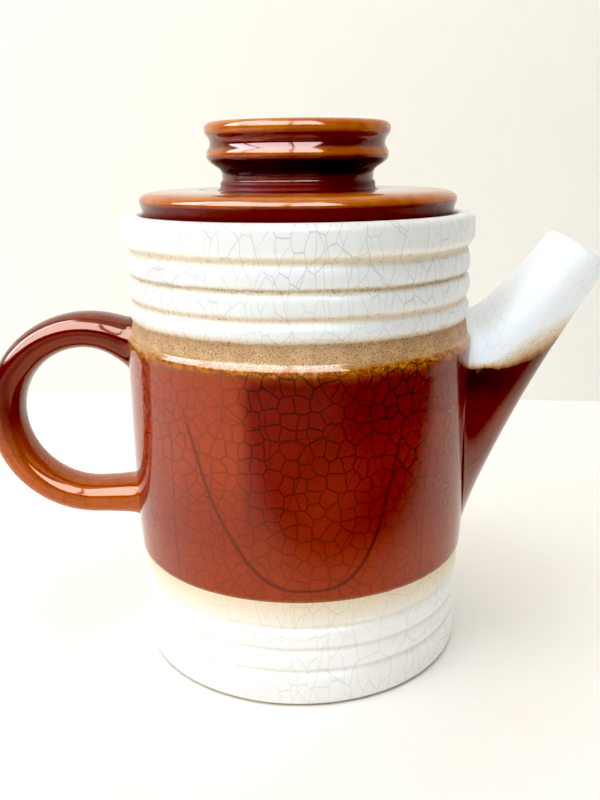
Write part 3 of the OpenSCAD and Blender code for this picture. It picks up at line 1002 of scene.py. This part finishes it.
def pot_material():
    mat = Material("pot_glaze_crackle")
    uv = wrapped(mat, PLAIN_R * MM)
    wob = mat.wobble(scale=38)
    fine_wob = mat.wobble(scale=240, detail=2)
    pale, specks, grooves, wide = pale_zone(mat, wob, fine_wob)

    # the brown band
    edge_low = mat.add(mat.z, mat.mul(wob, 0.0006))
    edge_high = mat.add(mat.z, mat.add(mat.mul(wob, 0.0020), mat.mul(fine_wob, 0.0016)))
    band = mat.mul(mat.step(edge_low, 0.0370, 0.0374), mat.step(edge_high, 0.1112, 0.1100))
    brown, cracks = brown_glaze(mat, uv, seed=1, deep=(0.130, 0.0014, 0.0010),
                                mid=(0.185, 0.0050, 0.0014))
    # painted light: the brown is made more orange where the window light and the floor's
    # reflection fall on it
    painted_light = painted_side_light(mat)
    brown = mat.mix(painted_light, brown, (0.40, 0.040, 0.0050))
    brown = brown_edges(mat, brown, edge_high)

    # one long crack where the flat coordinates join
    join = mat.step(mat.abs(mat.add(mat.y, mat.mul(wob, 0.004))), 0.0003, 0.0001)
    join = mat.mul(join, mat.step(mat.x, 0.0, 0.001))
    # crazing of the pale glaze: taller cells than in the brown
    tight = crackle(mat, uv, cell=0.0040, width=0.00018, seed=3, y_scale=0.42, soft=0.05)
    tight = mat.mul(tight, mat.mixf(mat.patches(0.38, 0.62, scale=60, detail=2), 0.30, 0.95))
    loose = crackle(mat, uv, cell=0.0105, width=0.00020, seed=4, y_scale=0.5, soft=0.05)
    loose = mat.mul(loose, mat.mixf(mat.patches(0.4, 0.6, scale=45, detail=2), 0.5, 1.0))
    pale_cracks = mat.max(loose, tight, join)
    cracks = mat.max(cracks, join)
    cracks = mat.mul(cracks, mat.mixf(mat.div(painted_light, 0.54, clamp=True), 1.0, 0.55))

    # fainter cracks near the upper edge and low down
    fade = mat.mul(mat.mixf(mat.step(mat.z, 0.1055, 0.1110), 0.96, 0.60),
                   mat.mixf(mat.step(mat.z, 0.052, 0.088), 0.55, 1.0))
    brown = mat.mix(mat.mul(cracks, fade), brown, (0.016, 0.0010, 0.0006))
    brown = mat.mix(mat.mul(long_cracks(mat, wob), 0.85), brown, (0.075, 0.0012, 0.0006))
    fade = mat.mul(mat.mixf(wide, 0.34, 0.10),
                   mat.mixf(mat.step(mat.z, 0.06, 0.11), 0.68, 1.0))
    pale = mat.mix(mat.mul(pale_cracks, fade), pale, srgb(104, 98, 94))
    colour = mat.mix(band, pale, brown)
    # iron gathers along the line where the two glazes meet
    iron = mat.mul(mat.band(edge_high, (0.1074, 0.1088), (0.1110, 0.1100)),
                   mat.mul(mat.dots(scale=2100, edge=0.50, core=0.30),
                           mat.patches(0.44, 0.52, scale=380, rough=0.7)))
    colour = mat.mix(mat.mul(iron, 0.8), colour, srgb(46, 24, 8))

    # inside: plain cream glaze with fine crazing
    rho = mat.axis_distance()
    inside = mat.mul(mat.step(rho, 0.0545, 0.0540),
                     mat.sub(1.0, mat.step(mat.z, 0.1488, 0.1500)))
    cream = mat.mix(mat.noise(scale=22, rough=0.55), srgb(240, 234, 222), srgb(230, 222, 206))
    cream = mat.mix(mat.mul(tight, 0.4), cream, srgb(150, 136, 118))
    colour = mat.mix(inside, colour, cream)
    # the bare foot
    foot = mat.mul(mat.step(mat.z, 0.0024, 0.0012), mat.step(rho, 0.0556, 0.0548))
    clay = bare_clay(mat, srgb(186, 152, 114), srgb(150, 116, 82))
    clay = mat.mix(mat.patches(0.60, 0.68, scale=900, detail=2), clay, srgb(84, 60, 42))
    colour = mat.mix(foot, colour, clay)

    band = mat.mul(band, mat.sub(1.0, inside))
    height = mat.sub(glaze_micro(mat), mat.mul(mat.mixf(band, pale_cracks, cracks), 0.000006))
    height = mat.sub(height, mat.mul(specks, 0.00002))
    gritty = mat.mul(mat.step(mat.z, 0.1114, 0.1124),
                     mat.mul(wide, mat.noise(scale=700, rough=0.7)))
    height = mat.add(height, mat.mul(gritty, 0.00012))
    height = mat.add(height, clay_grain(mat, foot))
    rough = mat.mixf(band, mat.mixf(grooves, 0.36, 0.50), 0.045)
    rough = mat.add(rough, mat.mul(mat.noise(scale=90), 0.04))
    rough = mat.mixf(foot, rough, 0.85)
    # a glossy bead along the band's upper edge
    bead = mat.band(mat.z, (0.1100, 0.1105), (0.1126, 0.1116))
    rough = mat.mixf(mat.mul(bead, mat.sub(1.0, mat.mul(iron, 0.6))), rough, 0.09)
    tint = mat.mix(bead, mat.mix(band, PALE_TINT, BROWN_TINT), (0.72, 0.55, 0.435))
    return mat.glaze(colour, rough, height, tint)


# ---------------------------------------------------------------- handle, lid and spout materials
CRACK_BROWN = (0.018, 0.0022, 0.0010)


def brown_finish(mat, colour, cracks):
    """Colour, roughness and height of the brown glaze on handle and lid."""
    colour = mat.mix(mat.mul(cracks, 0.30), colour, CRACK_BROWN)
    height = mat.sub(glaze_micro(mat), mat.mul(cracks, 0.000004))
    rough = mat.add(0.045, mat.mul(mat.noise(scale=90), 0.04))
    return colour, rough, height


def handle_material():
    mat = Material("handle_glaze_brown")
    uv = mat.node("ShaderNodeTexCoord").outputs["UV"]
    colour, cracks = brown_glaze(mat, uv, seed=21, deep=(0.095, 0.0028, 0.0014),
                                 mid=(0.160, 0.0100, 0.0026), cells=0.0060)
    # more orange low on the loop and on the lower limb
    low = mat.mul(mat.step(mat.z, 0.086, 0.062), 0.85)
    colour = mat.mix(low, colour, (0.44, 0.085, 0.0065))
    streak = mat.patches(0.42, 0.66, scale=90)
    colour = mat.mix(mat.mul(streak, low, 0.35), colour, (0.46, 0.110, 0.010))
    return mat.glaze(*brown_finish(mat, colour, cracks), BROWN_TINT)


def amber_lips_and_painted_reflection(mat, rho, top, seat):
    """Where the glaze on the lid's and the knob's edges thins to amber. The ring over the lid's
    outer top is wider than the thinning alone, as painted reflection of the bright sky.
    """
    wob = mat.wobble(scale=60)
    z = mat.add(mat.z, mat.mul(wob, 0.0007))
    # heights of the rise and the fall, radius where it starts, its blend width, amount
    amber_and_painted_reflection = [
        ((top - 0.0044, top - 0.0026), (top + 0.002, top + 0.001), 0.0262, 0.0014, 0.95),
        ((top - 0.0112, top - 0.0098), (top - 0.0074, top - 0.0086), 0.0284, 0.0014, 0.92),
        # partly painted reflection: this ring runs in over the lid's outer top, past the glaze's
        # thinning at the edge
        ((seat + 0.0070, seat + 0.0084), (seat + 0.0140, seat + 0.0130), 0.0330, 0.0110, 0.92),
        ((seat - 0.001, seat - 0.0005), (seat + 0.0016, seat + 0.0004), 0.0485, 0.0014, 0.35)]
    masks = [mat.mul(mat.band(z, rise, fall), amount, mat.step(rho, start, start + blend))
             for rise, fall, start, blend, amount in amber_and_painted_reflection]
    # the crown of the knob thins to amber towards its lip
    crown = mat.mul(mat.step(mat.z, top - 0.0030, top - 0.0018),
                    mat.step(rho, 0.0205, 0.0262), 0.8)
    return mat.mul(mat.max(*masks, crown), mat.mixf(mat.patches(0.25, 0.65, scale=130), 0.84, 1.0))


def lid_material():
    mat = Material("lid_glaze_brown")
    top, seat = KNOB_TOP * MM, SEAT_Z * MM
    rho = mat.axis_distance()
    normal = mat.split(mat.node("ShaderNodeNewGeometry").outputs["Normal"])
    flat = mat.step(mat.abs(normal[2]), 0.80, 0.86)
    colour, wall_cracks = brown_glaze(mat, wrapped(mat, 0.030), seed=11,
                                      deep=(0.095, 0.0030, 0.0014),
                                      mid=(0.140, 0.0070, 0.0022), cells=0.0046)
    flat_cracks = crackle(mat, mat.pos, cell=0.0046, width=0.00028, seed=12)
    cracks = mat.mixf(flat, wall_cracks, mat.mul(flat_cracks, 0.6))
    amber_and_painted_reflection = amber_lips_and_painted_reflection(mat, rho, top, seat)
    # amber of the thinned edges; on the lid's outer top also painted reflection of the sky
    gilt = mat.mul(mat.patches(0.30, 0.80, scale=180, detail=2, rough=0.5), 0.55)
    colour = mat.mix(amber_and_painted_reflection, colour, mat.mix(gilt, srgb(182, 92, 14), srgb(212, 132, 36)))
    # darker under the knob's lower bead: painted shade, and the thicker glaze there
    undercut_shade_and_thick_glaze = mat.band(mat.z, (top - 0.0108, top - 0.0120), (top - 0.0176, top - 0.0158))
    colour = mat.mix(mat.mul(undercut_shade_and_thick_glaze, 0.9), colour, (0.006, 0.0008, 0.0006))
    cracks = mat.mul(cracks, mat.mixf(amber_and_painted_reflection, 1.0, 0.30))
    # bare clay below the seat
    bare = mat.step(mat.z, seat + 0.0006, seat + 0.0002)
    cracks = mat.mul(cracks, mat.sub(1.0, bare))
    colour = mat.mix(bare, colour, bare_clay(mat, srgb(182, 148, 110), srgb(146, 112, 80)))
    colour, rough, height = brown_finish(mat, colour, cracks)
    # hardly any shine under the bead, on the lid's lower edge and round the knob's foot
    dull = mat.max(undercut_shade_and_thick_glaze, mat.step(mat.z, seat + 0.0078, seat + 0.0066))
    collar = mat.mul(mat.step(mat.z, top - 0.0178, top - 0.0184), mat.step(rho, 0.0268, 0.0262))
    dull = mat.max(dull, collar)
    tint = mat.mix(mat.mul(dull, 0.9), (1.0, 0.57, 0.42), (0.05, 0.01, 0.005))
    rough = mat.add(rough, mat.add(mat.mul(amber_and_painted_reflection, 0.05), mat.mul(collar, 0.30)))
    rough = mat.mixf(bare, rough, 0.8)
    return mat.glaze(colour, rough, mat.add(height, clay_grain(mat, bare)), tint)


def spout_material():
    mat = Material("spout_glaze_dipped")
    uv = mat.node("ShaderNodeTexCoord").outputs["UV"]
    wob = mat.wobble(scale=34)
    fine_wob = mat.wobble(scale=260, detail=2)
    # the dip line rises from the pot towards the mouth
    dip = mat.add(mat.z, mat.add(mat.mul(wob, 0.005), mat.mul(fine_wob, 0.002)))
    dip = mat.sub(dip, mat.mul(mat.max(mat.sub(mat.x, 0.066), 0.0), 0.42))
    far = mat.step(mat.x, 0.060, 0.078)

    def above_line():
        return mat.sub(dip, mat.mixf(far, 0.1000, 0.0975))

    rise = mat.div(above_line(), mat.mixf(far, 0.0026, 0.0125), clamp=True)
    brown, brown_cracks = brown_glaze(mat, uv, seed=31, deep=(0.120, 0.0050, 0.0018),
                                      mid=(0.190, 0.018, 0.0040), cells=0.0048)
    pale = mat.ramp(rise, [
        (0.0, srgb(112, 58, 16)), (0.10, srgb(150, 92, 36)), (0.28, srgb(204, 168, 122)),
        (0.52, srgb(230, 216, 196)), (0.80, srgb(242, 244, 244)), (1.0, srgb(243, 246, 247))])
    is_pale = mat.step(rise, 0.0, 0.07)
    # the brown is deepest just below the line
    deep = mat.mul(mat.step(above_line(), -0.0150, -0.0040), mat.mixf(far, 0.90, 0.45))
    brown = mat.mix(deep, brown, (0.022, 0.0009, 0.0007))
    colour = mat.mix(is_pale, brown, pale)
    pale_cracks = crackle(mat, uv, cell=0.0042, width=0.00022, seed=35, y_scale=0.7)
    pale_cracks = mat.mul(pale_cracks, mat.mixf(mat.patches(0.38, 0.62, scale=60, detail=2),
                                                0.04, 0.16))
    colour = mat.mix(mat.mixf(is_pale, mat.mul(brown_cracks, 0.35), pale_cracks), colour,
                     mat.mix(is_pale, CRACK_BROWN, srgb(120, 118, 118)))
    specks = mat.mul(mat.dots(scale=1500, edge=0.40, core=0.22),
                     mat.patches(0.48, 0.60, scale=400, detail=2, rough=0.7))
    near_line = mat.mul(is_pale, mat.step(rise, 0.85, 0.45))
    colour = mat.mix(mat.mul(specks, near_line, 0.7), colour, srgb(96, 62, 30))
    height = mat.sub(glaze_micro(mat, 1.4),
                     mat.mul(mat.max(brown_cracks, pale_cracks), 0.000004))
    rough = mat.add(mat.mixf(is_pale, 0.045, 0.40), mat.mul(mat.noise(scale=90), 0.05))
    tint = mat.mix(is_pale, mat.mix(deep, BROWN_TINT, (0.04, 0.01, 0.006)), (0.52, 0.38, 0.295))
    return mat.glaze(colour, rough, height, tint)


def steel_material(name):
    mat = Material(name)
    # grain drawn out sideways
    grain = mat.noise(scale=1800, at=mat.vec("MULTIPLY", mat.pos, (0.05, 0.05, 1)))
    smudge = mat.noise(scale=35)
    colour = mat.mix(smudge, srgb(186, 176, 166), srgb(208, 198, 186))
    # faint tea stain low on the sheet
    stain = mat.mul(mat.step(mat.z, 0.085, 0.052), mat.patches(0.35, 0.75, scale=70))
    colour = mat.mix(mat.mul(stain, 0.35), colour, srgb(150, 112, 74))
    rough = mat.add(mat.add(0.20, mat.mul(grain, 0.14)), mat.mul(smudge, 0.08))
    return mat.surface(colour, rough, mat.mul(grain, 0.00001), metallic=1.0)


for material, objects in (
        (pot_material(), [pot]),
        (spout_material(), [spout]),
        (handle_material(), [handle]),
        (lid_material(), [lid, knob]),
        (steel_material("steel_pressed"), [infuser_rim]),
        (steel_material("steel_perforated"), [infuser_wall, infuser_base])):
    for ob in objects:
        ob.data.materials.clear()
        ob.data.materials.append(material)


# ---------------------------------------------------------------- stage
def plane(name, corners, material):
    mesh = bpy.data.meshes.new(name)
    mesh.from_pydata(corners, [], [(0, 1, 2, 3)])
    ob = bpy.data.objects.new(name, mesh)
    bpy.context.scene.collection.objects.link(ob)
    ob.data.materials.append(material)


def floor_material():
    """A pale sheet. In reflections it ends a little in front of the pot, like a table."""
    mat = Material("floor_pale")
    colour = mat.mix(mat.noise(scale=6, detail=4), srgb(253, 251, 246), srgb(250, 248, 241))
    smears = mat.patches(0.52, 0.74, scale=55, detail=4, rough=0.62)
    colour = mat.mix(mat.mul(smears, 0.06), colour, srgb(222, 214, 200))
    # the edge slants differently on either side of the pot
    edge = mat.sub(mat.y, mat.mul(mat.max(mat.x, 0.0), 0.35))
    edge = mat.add(edge, mat.mul(mat.max(mat.mul(mat.x, -1.0), 0.0), 0.75))
    glossy = mat.node("ShaderNodeLightPath").outputs["Is Glossy Ray"]
    gone = mat.mul(mat.step(edge, -0.095, -0.185), glossy)
    colour = mat.mix(gone, colour, (0.004, 0.003, 0.003))
    height = mat.mul(mat.noise(scale=90), 0.0002)
    return mat.surface(colour, 0.6, height, **{"Specular IOR Level": 0.25})


def wall_material():
    """Matt on the camera's side, clear from behind."""
    mat = Material("wall_pale")
    # painted shade: the wall is a little darker towards +x, away from the window light
    shade = mat.step(mat.x, -0.25, 0.30, smooth=False)
    matt = mat.node("ShaderNodeBsdfDiffuse")
    mat.link(mat.mix(shade, srgb(243, 240, 230), srgb(236, 232, 226)), matt.inputs[0])
    clear = mat.node("ShaderNodeBsdfTransparent")
    mixer = mat.node("ShaderNodeMixShader")
    mat.link(mat.node("ShaderNodeNewGeometry").outputs["Backfacing"], mixer.inputs[0])
    mat.link(matt.outputs[0], mixer.inputs[1])
    mat.link(clear.outputs[0], mixer.inputs[2])
    mat.link(mixer.outputs[0], mat.out.inputs[0])
    return mat.material


STAGE = 3                         # half width of the stage, and the wall's height
WALL_Y_LEFT, WALL_Y_RIGHT = 0.6216, 0.0036
plane("floor", [(-STAGE, -STAGE, 0), (STAGE, -STAGE, 0), (STAGE, STAGE, 0), (-STAGE, STAGE, 0)],
      floor_material())
plane("backdrop", [(-STAGE, WALL_Y_LEFT, 0), (STAGE, WALL_Y_RIGHT, 0),
                   (STAGE, WALL_Y_RIGHT, STAGE), (-STAGE, WALL_Y_LEFT, STAGE)],
      wall_material())

# ---------------------------------------------------------------- world
AMBIENT = 0.48                    # even light on everything but reflections
# strengths in reflections: the window, the sky high up, the room at the sides, everywhere
SKY_WINDOW, SKY_HIGH, SKY_SIDE, SKY_LEAST = 11.0, 1.2, 0.35, 0.015
WINDOW_BARS = (-72, -8)           # azimuths of the dark bars, in degrees
DEGREES = 57.2958


def build_world():
    """Even light, but in reflections a tall window on the left and front of a dim room.

    Azimuth is 0 towards the camera (-y) and grows towards +x.
    """
    world = bpy.data.worlds.new("studio")
    bpy.context.scene.world = world
    world.use_nodes = True
    sky = Nodes(world.node_tree)
    x, y, z = sky.split(sky.node("ShaderNodeTexCoord").outputs["Generated"])
    azimuth = sky.mul(sky.math("ARCTAN2", x, sky.mul(y, -1.0)), DEGREES)
    elevation = sky.mul(sky.math("ARCSINE", z), DEGREES)
    window = sky.mul(sky.band(azimuth, (-120, -112), (36, 28)),
                     sky.band(elevation, (13, 19), (74, 66)))
    for at in WINDOW_BARS:
        bar = sky.band(azimuth, (at - 3.0, at - 1.6), (at + 3.0, at + 1.6))
        window = sky.mul(window, sky.sub(1.0, sky.mul(bar, 0.85)))
    high = sky.mul(sky.step(elevation, 40, 75), SKY_HIGH)
    side = sky.mul(sky.step(sky.abs(azimuth), 70, 130),
                   sky.mul(sky.step(elevation, -2, 12), SKY_SIDE))
    shine = sky.add(sky.max(sky.mul(window, SKY_WINDOW), high, side), SKY_LEAST)
    glossy = sky.node("ShaderNodeLightPath").outputs["Is Glossy Ray"]
    strength = sky.add(sky.mul(glossy, sky.sub(shine, AMBIENT)), AMBIENT)
    warm, daylight = (0.995, 0.982, 0.948), (0.92, 1.28, 1.66)
    background = sky.node("ShaderNodeBackground")
    sky.link(sky.mix(sky.mul(glossy, window), warm, daylight), background.inputs[0])
    sky.link(strength, background.inputs[1])
    sky.link(background.outputs[0], sky.node("ShaderNodeOutputWorld").inputs[0])


build_world()


# ---------------------------------------------------------------- lights
def area(name, at, to, size, power):
    """Rectangular light, not seen in reflections."""
    light = bpy.data.lights.new(name, "AREA")
    light.shape = "RECTANGLE"
    light.size, light.size_y = size
    light.energy, light.color = power, (1.0, 0.99, 0.97)
    ob = bpy.data.objects.new(name, light)
    bpy.context.scene.collection.objects.link(ob)
    ob.location = at
    ob.rotation_mode = "QUATERNION"
    ob.rotation_quaternion = (Vector(to) - Vector(at)).to_track_quat("-Z", "Y")
    ob.visible_glossy = False


area("window_left", at=(-0.95, -0.60, 0.55), to=(0, 0, 0.09), size=(0.7, 0.9), power=6.4)
area("soft_top", at=(-0.1, -0.1, 1.15), to=(0, 0, 0.08), size=(1.0, 0.8), power=6.2)

# ---------------------------------------------------------------- camera
CAMERA_Y, CAMERA_Z = -0.2888, 0.1673
PITCH, ROLL = math.radians(15.807), math.radians(-0.573)   # pitch is downwards

camera = bpy.data.cameras.new("camera")
camera.sensor_fit = "AUTO"
camera.sensor_width = 36.0
camera.lens = 38.25
camera.clip_start, camera.clip_end = 0.01, 20
camera_ob = bpy.data.objects.new("camera", camera)
bpy.context.scene.collection.objects.link(camera_ob)
forward = Vector((0, math.cos(PITCH), -math.sin(PITCH)))
level = Vector((1, 0, 0))
upright = level.cross(forward)
right = math.cos(ROLL) * level + math.sin(ROLL) * upright
up = -math.sin(ROLL) * level + math.cos(ROLL) * upright
camera_ob.matrix_world = Matrix((
    (right.x, up.x, -forward.x, 0.0),
    (right.y, up.y, -forward.y, CAMERA_Y),
    (right.z, up.z, -forward.z, CAMERA_Z),
    (0, 0, 0, 1)))
bpy.context.scene.camera = camera_ob

view = bpy.context.scene.view_settings
view.view_transform = "Standard"
view.look = "None"
view.exposure = 0.0
view.gamma = 1.0
view.use_curve_mapping = True
view.curve_mapping.black_level = (0.012, 0.012, 0.012)
view.curve_mapping.update()
